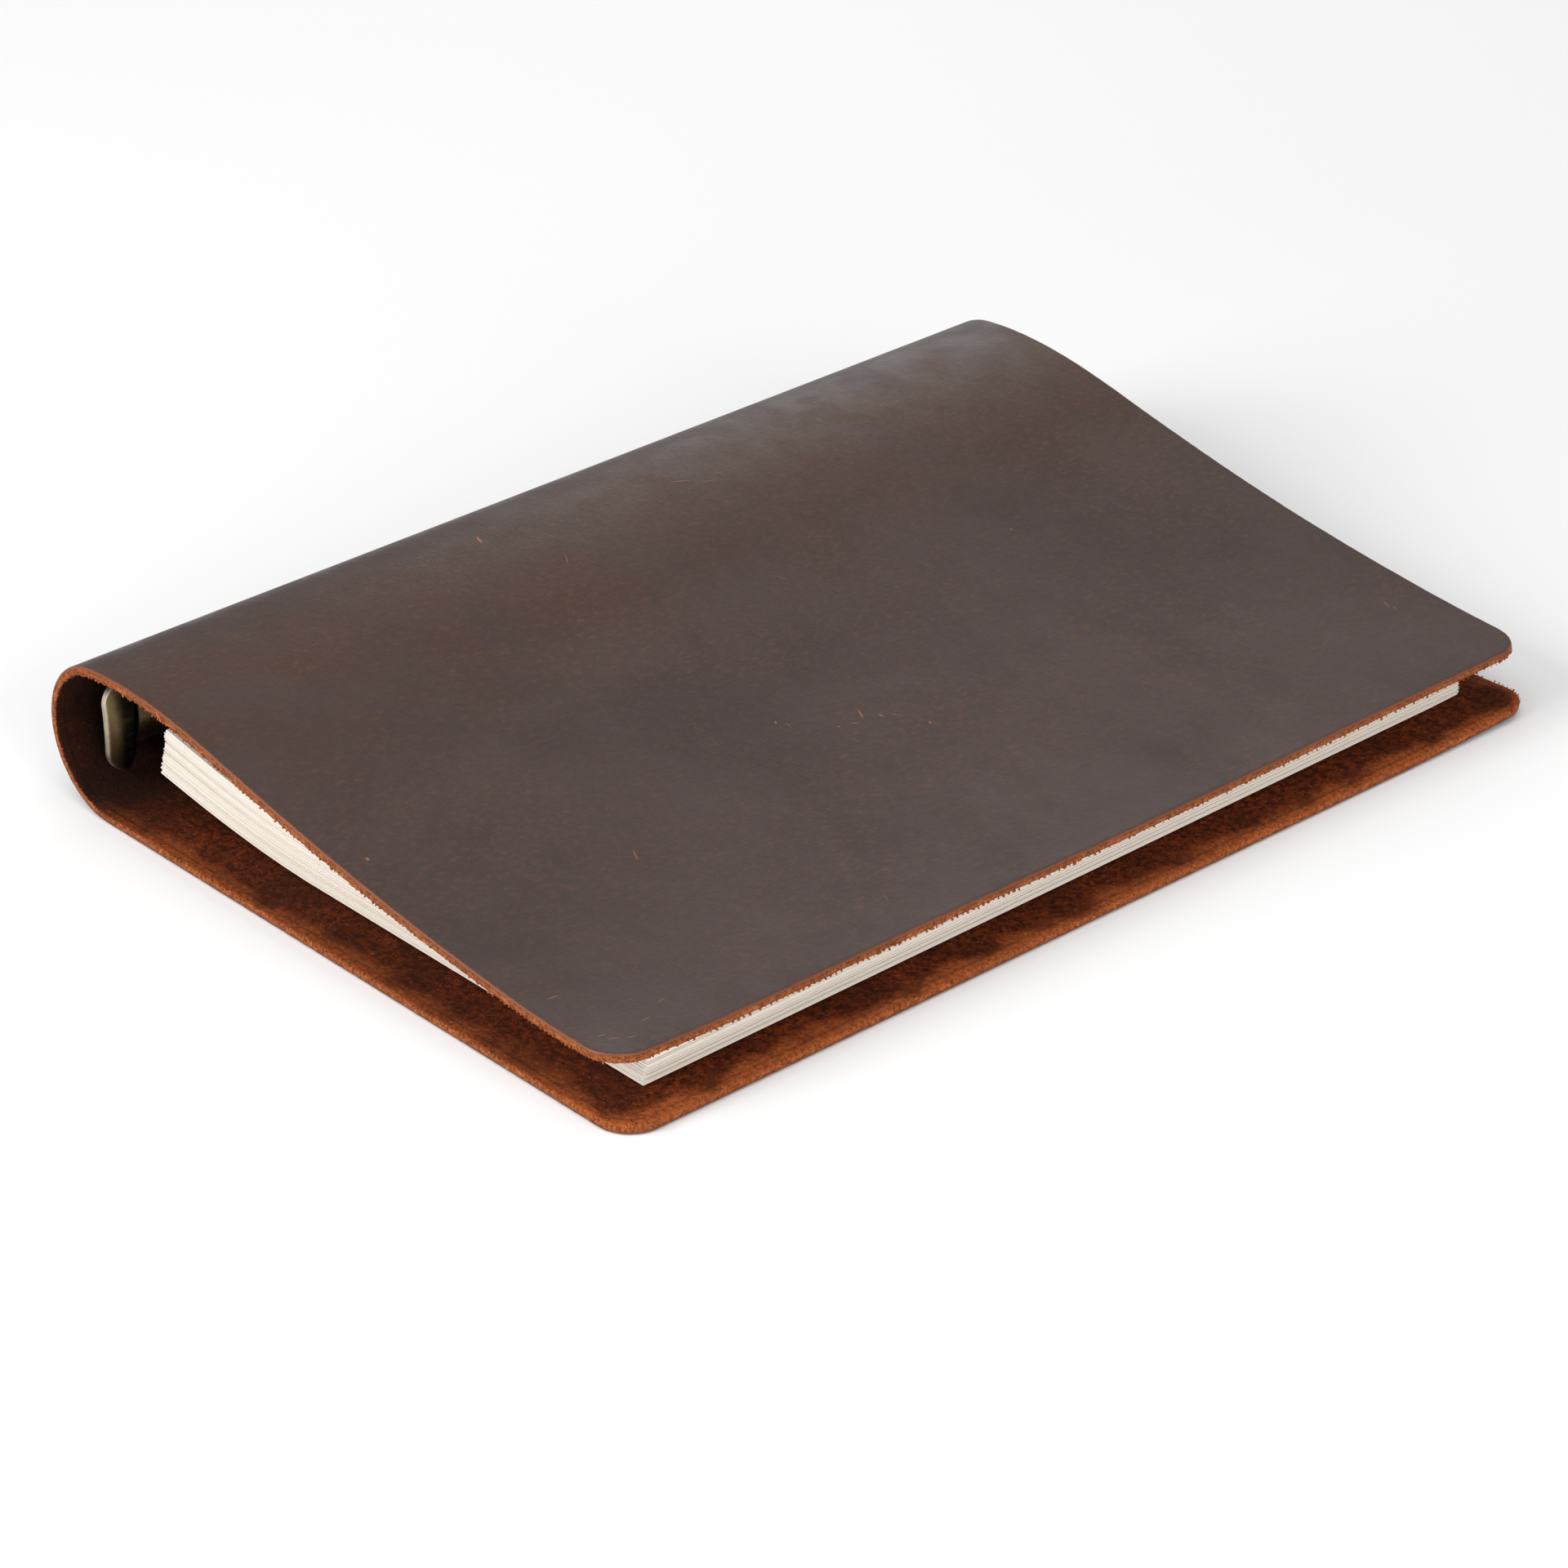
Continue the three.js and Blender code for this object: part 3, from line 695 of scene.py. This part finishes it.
def sheet_outline():
    """Plan of one punched sheet from its inner edge and its middle: points, triangles and boundary edges."""
    half = SHEET_HALF_LENGTH
    across = [x * MM for x in (0, 3.4, 13.4, 18, 22, 27, 32, 38, 45, 60, 100)] + [SHEET_WIDTH]
    points, edges = [], []
    for x in across:
        points += [Vector((x, -half)), Vector((x, half))]
        edges.append((len(points) - 2, len(points) - 1))
    for k in range(len(across) - 1):
        edges += [(2 * k, 2 * k + 2), (2 * k + 1, 2 * k + 3)]
    quarter = 6
    for y in HOLE_OFFSETS:
        first = len(points)
        for end, from_angle in ((HOLE_TO, -90), (HOLE_FROM, 90)):
            centre = Vector((end, y))
            for k in range(2 * quarter + 1):
                angle = math.radians(from_angle + 90 * k / quarter)
                points.append(centre + HOLE_RADIUS * Vector((math.cos(angle), math.sin(angle))))
        count = len(points) - first
        edges += [(first + k, first + (k + 1) % count) for k in range(count)]
    points, _, triangles, _, _, _ = delaunay_2d_cdt(points, edges, [], 0, 1e-7)
    kept = []
    for triangle in triangles:
        middle = sum((points[k] for k in triangle), Vector((0, 0))) / 3
        along = min(max(middle.x, HOLE_FROM), HOLE_TO)
        if all((middle - Vector((along, y))).length > HOLE_RADIUS * 0.98 for y in HOLE_OFFSETS):
            kept.append(tuple(triangle))
    directed = {(t[k], t[(k + 1) % 3]) for t in kept for k in range(3)}
    boundary = [(a, b) for a, b in directed if (b, a) not in directed]
    return np.array([tuple(p) for p in points]), kept, sorted(boundary)


pack_low, pack_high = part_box("leaf_pack_1")
INNER_X = pack_low.x
STACK_FLOOR = HIDE + 0.3 * MM
STACK_HEIGHT = 9.7 * MM
SHEET_Y = (pack_low.y + pack_high.y) / 2
SHEET_HALF_LENGTH = (pack_high.y - pack_low.y) / 2
SKEW = math.radians(0.6)  # how far the sheets' long edges run askew of the spine
LIFT_START = -21 * MM  # from here to the rings the stack rises off the back cover
LIFT_HEIGHT = 4.6 * MM
LIFT_POWER = 1.65
FAN = 0.08  # how much the sheets spread as they rise
SLANT = 2.9 * MM  # how far the inner edge of the top sheet is stepped back from the bottom one's


def sheet_height(x, level):
    """Height above the table of a sheet at this level of the stack."""
    lift = np.clip((LIFT_START - x) / (LIFT_START - INNER_X), 0, 1.2) ** LIFT_POWER
    return STACK_FLOOR + LIFT_HEIGHT * lift + level * (1 + FAN * lift)


def sheets(name, outline, from_level, to_level, count, body, node, groove, shift_y, short=0.0):
    """A pack of loose sheets between two levels of the stack, each a thin closed sheet with its six holes.
    groove is the gap below it at the rings, and short is how far its far end stops before the others'."""
    plan, triangles, boundary = outline
    vertices, faces, tones = [], [], []
    for k in range(count):
        level = from_level + (to_level - from_level) * (k + 0.5) / count - SHEET_THICKNESS / 2
        share = level / STACK_HEIGHT
        turn = SKEW + math.radians(random.uniform(-0.05, 0.05))
        inner_x = INNER_X - 1.0 * MM + SLANT * share + random.uniform(-0.25, 0.25) * MM
        x = inner_x + plan[:, 0] * (1 - 0.006 * share) - turn * plan[:, 1]
        y = SHEET_Y + shift_y + random.uniform(-0.12, 0.12) * MM + plan[:, 1] + (turn - SKEW) * plan[:, 0]
        y -= short * smoothstep(SHEET_HALF_LENGTH - 20 * MM, SHEET_HALF_LENGTH, plan[:, 1])
        lift = np.clip((LIFT_START - x) / (LIFT_START - INNER_X), 0, 1.2)
        z = sheet_height(x, level) + groove * lift ** 0.7
        first = len(vertices)
        vertices += list(zip(x, y, z + SHEET_THICKNESS)) + list(zip(x, y, z))
        under = first + len(plan)
        faces += [tuple(first + c for c in t) for t in triangles]
        faces += [tuple(under + c for c in reversed(t)) for t in triangles]
        faces += [(first + b, first + a, under + a, under + b) for a, b in boundary]
        tones += [random.random()] * (2 * len(plan))
    obj = new_object(name, vertices, faces, [CARD], smooth=False)
    store(obj, "tone", tones)
    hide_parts(node)
    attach(obj, body)


random.seed(11)
outline = sheet_outline()
PACK = 1.8 * MM
sheets("sheets_1", outline, 0, PACK, 8, "root", "leaf_pack_1", 0, 0)
sheets("sheets_2", outline, PACK, 2 * PACK, 8, "root", "leaf_pack_2", 0, -0.1 * MM, short=0.2 * MM)
sheets("sheets_3", outline, 2 * PACK, 3 * PACK, 8, "root", "leaf_pack_3", 0, 0, short=1.5 * MM)
sheets("sheets_4", outline, 3 * PACK, 4 * PACK, 8, "root", "leaf_pack_4", 0.35 * MM, 0, short=1.9 * MM)
sheets("sheets_front", outline, 4 * PACK, STACK_HEIGHT, 11, "leaves", "front_leaves", 0.80 * MM, 0,
       short=0.7 * MM)


# ---------------------------------------------------------------- the ring mechanism

def sheet_metal(name, us, vs, kept, point, thickness_side, wear_and_painted_light=lambda u, v: 0.5):
    """A shell of sheet metal over a grid of cells. point(u, v, side) gives its outer and inner faces, and
    kept(u, v) says whether the cell at those middle values is metal."""
    vertices, faces, worn = [], [], []
    index = {}

    def corner(i, j, side):
        if (i, j, side) not in index:
            index[i, j, side] = len(vertices)
            vertices.append(point(us[i], vs[j], side))
            worn.append(wear_and_painted_light(us[i], vs[j]))
        return index[i, j, side]

    cells = {
        (i, j)
        for i in range(len(us) - 1)
        for j in range(len(vs) - 1)
        if kept((us[i] + us[i + 1]) / 2, (vs[j] + vs[j + 1]) / 2)
    }
    for i, j in sorted(cells):
        around = [(i, j), (i + 1, j), (i + 1, j + 1), (i, j + 1)]
        beyond = [(i, j - 1), (i + 1, j), (i, j + 1), (i - 1, j)]
        faces.append(tuple(corner(a, b, 0) for a, b in around))
        faces.append(tuple(corner(a, b, 1) for a, b in reversed(around)))
        for k in range(4):
            if beyond[k] not in cells:
                a, b = around[k], around[(k + 1) % 4]
                faces.append((corner(*b, 0), corner(*a, 0), corner(*a, 1), corner(*b, 1)))
    if thickness_side < 0:
        faces = [f[::-1] for f in faces]
    obj = new_object(name, vertices, faces, [BRASS])
    store(obj, "wear_and_painted_light", worn)
    return obj


def with_marks(low, high, count, marks):
    """Even divisions from low to high, with these places added."""
    even = [low + (high - low) * k / count for k in range(count + 1)]
    clear = [v for v in even if all(abs(v - m) > 1e-6 for m in marks)]
    return sorted(clear + list(marks))


def rail():
    """The arched cover of the mechanism, notched for the rings."""
    half_width = (rail_high.z - rail_low.z) / 2
    rise = rail_high.x - rail_low.x - 0.35 * MM
    radius = (half_width ** 2 + rise ** 2) / (2 * rise)
    centre_x = rail_high.x - radius
    gauge = 0.8 * MM
    edge = math.asin(half_width / radius)
    notch = math.asin(4.5 * MM / radius)
    notch_half = 1.8 * MM
    ring_ys = [MECHANISM_Y + offset for offset in HOLE_OFFSETS]
    ys = with_marks(rail_low.y, rail_high.y, 80, [y + s * notch_half for y in ring_ys for s in (-1, 1)])
    angles = with_marks(-edge, edge, 28, [-notch, notch])

    def kept(y, angle):
        return abs(angle) < notch or all(abs(y - ring_y) > notch_half for ring_y in ring_ys)

    def point(y, angle, side):
        r = radius - side * gauge
        return centre_x + r * math.cos(angle), y, MECHANISM_Z + r * math.sin(angle)

    obj = sheet_metal("rail", ys, angles, kept, point, 1)
    bevel(obj, 0.16 * MM)
    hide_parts("rail_cover")
    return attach(obj, "root")


def half_ring(name, node, body):
    """Half a ring of round wire with a rounded tip."""
    low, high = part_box(node)
    upper = high.z > MECHANISM_Z + 2 * MM
    wire = (high.y - low.y) / 2
    y = (low.y + high.y) / 2
    reach = high.z - MECHANISM_Z if upper else MECHANISM_Z - low.z
    radius = reach - wire
    centre_x = high.x - reach
    side = 1 if upper else -1
    foot = math.radians(149)
    tip = 0.15 * MM / radius
    steps, sides = 44, 18
    vertices, faces = [], []
    cap = [(0.12, 0.0), (0.62, 0.05), (0.9, 0.2), (1.0, 0.5)]
    rings = [(tip + share * wire / radius * 0.6, scale) for scale, share in cap]
    rings += [(tip + (foot - tip) * k / steps, 1.0) for k in range(2, steps + 1)]
    for angle, scale in rings:
        for k in range(sides):
            turn = 2 * math.pi * k / sides
            r = radius + wire * scale * math.cos(turn)
            x, z = centre_x + r * math.cos(angle), MECHANISM_Z + side * r * math.sin(angle)
            vertices.append((x, y + wire * scale * math.sin(turn), z))
    for ring in range(len(rings) - 1):
        for k in range(sides):
            a, b = ring * sides + k, ring * sides + (k + 1) % sides
            faces.append((a, b, b + sides, a + sides))
    faces.append(tuple(range(sides))[::-1])
    faces.append(tuple(len(vertices) - sides + k for k in range(sides)))
    if side > 0:
        faces = [f[::-1] for f in faces]
    obj = new_object(name, vertices, faces, [BRASS])
    store(obj, "wear_and_painted_light", [0.62] * len(vertices))
    sharpen(obj, 50)
    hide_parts(node)
    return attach(obj, body)


def bent_line(corners, radius, steps):
    """A path through these corners with rounded bends, as points."""
    path = [Vector(corners[0])]
    for before, here, after in zip(corners, corners[1:], corners[2:]):
        here = Vector(here)
        back = (Vector(before) - here).normalized()
        on = (Vector(after) - here).normalized()
        for k in range(steps + 1):
            t = k / steps
            start, end = here + back * radius, here + on * radius
            path.append((1 - t) ** 2 * start + 2 * t * (1 - t) * here + t * t * end)
    path.append(Vector(corners[-1]))
    return path


def lever(name, node, body, side):
    """A thumb lever of bent sheet: a tongue below the plates, a web, and a round-cornered tab outside."""
    low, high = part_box(node)
    gauge = 1.2 * MM
    web_y = (rail_low.y - 0.9 * MM) if side < 0 else (rail_high.y + 0.9 * MM)
    tip_y = low.y if side < 0 else high.y
    tongue_y = high.y if side < 0 else low.y
    tongue_x = low.x + gauge / 2
    tab_x = high.x - gauge / 2
    corners = [(tongue_x, tongue_y), (tongue_x, web_y), (tab_x, web_y), (tab_x, tip_y - side * 1.35 * MM)]
    path = bent_line(corners, 1.1 * MM, 5)
    last = path.pop()
    path += [path[-1].lerp(last, k / 8) for k in range(1, 9)]
    lengths = np.concatenate([[0], np.cumsum([(b - a).length for a, b in zip(path, path[1:])])])
    tab_half = (high.z - low.z) / 2
    middle_z = (high.z + low.z) / 2
    corner = 5 * MM
    total = lengths[-1]

    def half_width(s):
        widened = 3 * MM + 2 * MM * float(smoothstep(2.6 * MM, 4.4 * MM, s))
        widened += (tab_half - 5 * MM) * float(smoothstep(8.2 * MM, 10.2 * MM, s))
        short = max(0.0, corner - (total - s))
        return widened - (corner - math.sqrt(max(0.0, corner ** 2 - short ** 2)))

    def frame_at(s):
        x = np.interp(s, lengths, [p.x for p in path])
        y = np.interp(s, lengths, [p.y for p in path])
        nearby = [max(0, s - 0.05 * MM), min(total, s + 0.05 * MM)]
        dx = np.diff(np.interp(nearby, lengths, [p.x for p in path]))[0]
        dy = np.diff(np.interp(nearby, lengths, [p.y for p in path]))[0]
        size = math.hypot(dx, dy)
        return x, y, dy / size, -dx / size

    rounding = [total - corner * (1 - math.cos(math.radians(a))) for a in range(0, 91, 9)]
    stations = sorted(set(list(lengths) + rounding))
    stations = [s for k, s in enumerate(stations) if k == 0 or s - stations[k - 1] > 0.02 * MM or s == total]
    across = [k / 14 for k in range(-14, 15)]

    def point(s, v, face):
        x, y, nx, ny = frame_at(s)
        half = half_width(s)
        from_web = max(0.0, side * (y - web_y)) / (side * (tip_y - web_y))
        arch = 0.8 * MM * (1 - math.cos(2.2 * max(0.0, from_web - 0.35)))
        arch += float(smoothstep(8.5 * MM, 10.5 * MM, s)) * (v * half) ** 2 / (110 * MM)
        offset = (0.5 - face) * gauge * side
        on_tab = float(smoothstep(2.6 * MM, 8.2 * MM, s))
        z = MECHANISM_Z + (middle_z - MECHANISM_Z) * on_tab + v * half
        return x + nx * offset - arch, y + ny * offset, z

    # Painted light: high along the tab's rim near its tip, a painted highlight as well as rubbing, a middle
    # value over the tip, and zero elsewhere, where the brass is painted near-black as shade.
    def wear_and_painted_light(s, v):
        to_tip = total - s
        to_rim = min(to_tip, (1 - abs(v)) * half_width(s))
        at_rim = float(smoothstep(0.7 * MM, 0.1 * MM, to_rim))
        at_tip = float(smoothstep(5.0 * MM, 2.0 * MM, to_tip))
        return 0.32 * float(smoothstep(4.8 * MM, 1.2 * MM, to_tip)) + 0.6 * at_rim * at_tip

    obj = sheet_metal(name, stations, across, lambda s, v: True, point, -side, wear_and_painted_light)
    bevel(obj, 0.45 * MM, 4)
    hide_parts(node)
    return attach(obj, body)


def turned(name, node, profile, hexed=()):
    """A round piece about an axis along X through the middle of its node. profile is radius and X.
    The radii at the places in hexed follow a hexagon instead."""
    low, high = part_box(node)
    y, z = (low.y + high.y) / 2, (low.z + high.z) / 2
    sides = 36
    vertices, faces = [], []
    for place, (radius, x) in enumerate(profile):
        for k in range(sides):
            angle = 2 * math.pi * k / sides
            r = radius
            if place in hexed:
                r *= math.cos(math.pi / 6) / math.cos((angle + math.pi / 6) % (math.pi / 3) - math.pi / 6)
            vertices.append((x, y + r * math.cos(angle), z + r * math.sin(angle)))
    for ring in range(len(profile) - 1):
        for k in range(sides):
            a, b = ring * sides + k, ring * sides + (k + 1) % sides
            faces.append((a, a + sides, b + sides, b))
    faces.append(tuple(range(sides)))
    faces.append(tuple(len(vertices) - sides + k for k in range(sides))[::-1])
    if profile[-1][1] < profile[0][1]:
        faces = [f[::-1] for f in faces]
    obj = new_object(name, vertices, faces, [BRASS])
    store(obj, "wear_and_painted_light", [0.6] * len(vertices))
    sharpen(obj, 35)
    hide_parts(node)
    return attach(obj, "root")


def dome(radius, apex_x, rim_x):
    """Profile of a dome from near its top to its rim, as radius and X."""
    steps = 7
    angles = [math.radians(8 + 82 * k / steps) for k in range(steps + 1)]
    return [(radius * math.sin(a), rim_x + (apex_x - rim_x) * math.cos(a)) for a in angles]


def spine_post(end):
    """A post through the spine with a domed cap outside, bored for the rail's screw."""
    low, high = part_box(f"spine_post_{end}")
    cap_x = low.x + 1.0 * MM
    cap_radius = (high.z - low.z) / 2
    profile = dome(cap_radius, low.x, cap_x) + [(2.2 * MM, cap_x), (2.2 * MM, high.x), (1.5 * MM, high.x)]
    profile.append((1.5 * MM, cap_x + 1 * MM))
    return turned(f"post_{end}", f"spine_post_{end}", profile)


def rail_screw(end):
    """A screw with a domed head and a hexagonal recess."""
    low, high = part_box(f"rail_screw_{end}")
    rim_x = high.x - 1.0 * MM
    head = dome((high.z - low.z) / 2, high.x, rim_x)[::-1][:-2]
    recess = [(1.25 * MM, high.x - 0.05 * MM), (1.2 * MM, high.x - 0.75 * MM), (0.1 * MM, high.x - 0.75 * MM)]
    profile = [(0.2 * MM, low.x), (1.1 * MM, low.x + 0.2 * MM), (1.1 * MM, rim_x)] + head + recess
    hexed = range(len(profile) - 3, len(profile))
    return turned(f"screw_{end}", f"rail_screw_{end}", profile, hexed)


rail()
for half in ("upper", "lower"):
    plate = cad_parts[f"hinge_plate_{half}"]
    plate.data.materials.clear()
    plate.data.materials.append(BRASS)
    store(plate, "wear_and_painted_light", [0.4] * len(plate.data.vertices))
    for number in range(1, 7):
        half_ring(f"half_ring_{half}_{number}", f"ring_{half}_{number}", f"{half}_rings")
lever("thumb_lever_near", "lever_near", "near_lever", -1)
lever("thumb_lever_far", "lever_far", "far_lever", 1)
for end in ("near", "far"):
    spine_post(end)
    rail_screw(end)


# ---------------------------------------------------------------- floor, light and camera

def pale_floor():
    paint = Paint("floor")
    place = paint.add("ShaderNodeTexCoord", {}, output="Object")
    shade = paint.noise(place, 0.6, 2.0)
    color = paint.mix(paint.span(shade, 0.3, 0.7), (0.93, 0.93, 0.93, 1), (0.95, 0.95, 0.95, 1))
    return paint.finish(color, 0.9, Specular_IOR_Level=0.1)


floor_size = 6.0
corner = floor_size / 2
floor = new_object(
    "floor",
    [(-corner, -corner, 0), (corner, -corner, 0), (corner, corner, 0), (-corner, corner, 0)],
    [(0, 1, 2, 3)],
    [pale_floor()],
)
floor.location.z = -0.1 * MM


def softbox(name, place, size, power):
    light = bpy.data.lights.new(name, "AREA")
    light.shape = "SQUARE"
    light.size = size
    light.energy = power
    obj = bpy.data.objects.new(name, light)
    obj.location = place
    obj.rotation_euler = (-Vector(place)).to_track_quat("-Z", "Y").to_euler()
    bpy.context.scene.collection.objects.link(obj)


softbox("key", (-0.5, -1.7, 0.85), 1.2, 30)
softbox("top", (0.3, -0.5, 1.9), 1.6, 12)
softbox("sheen", (-0.66, 0.64, 0.30), 0.35, 0.7)
softbox("fill", (1.8, -0.3, 0.5), 1.4, 22)

world = bpy.data.worlds.new("studio")
world.use_nodes = True
world.node_tree.nodes["Background"].inputs["Color"].default_value = (1, 1, 1, 1)
world.node_tree.nodes["Background"].inputs["Strength"].default_value = 0.40
bpy.context.scene.world = world
bpy.context.scene.view_settings.view_transform = "Standard"

CAMERA_TURN, CAMERA_TILT, CAMERA_ROLL = 49.31, 28.92, -1.11  # degrees: about Z, below level, and sideways
camera_data = bpy.data.cameras.new("camera")
camera_data.sensor_width = 36
camera_data.lens = 128.08
camera = bpy.data.objects.new("camera", camera_data)
camera.location = (714.2 * MM, -618.4 * MM, 514.6 * MM)
heading = Euler((0, 0, math.radians(CAMERA_TURN))).to_matrix()
pitch = Euler((math.radians(90 - CAMERA_TILT), 0, 0)).to_matrix()
roll = Euler((0, 0, math.radians(CAMERA_ROLL))).to_matrix()
camera.rotation_euler = (heading @ pitch @ roll).to_euler()
camera_data.clip_start = 0.01
bpy.context.scene.collection.objects.link(camera)
bpy.context.scene.camera = camera
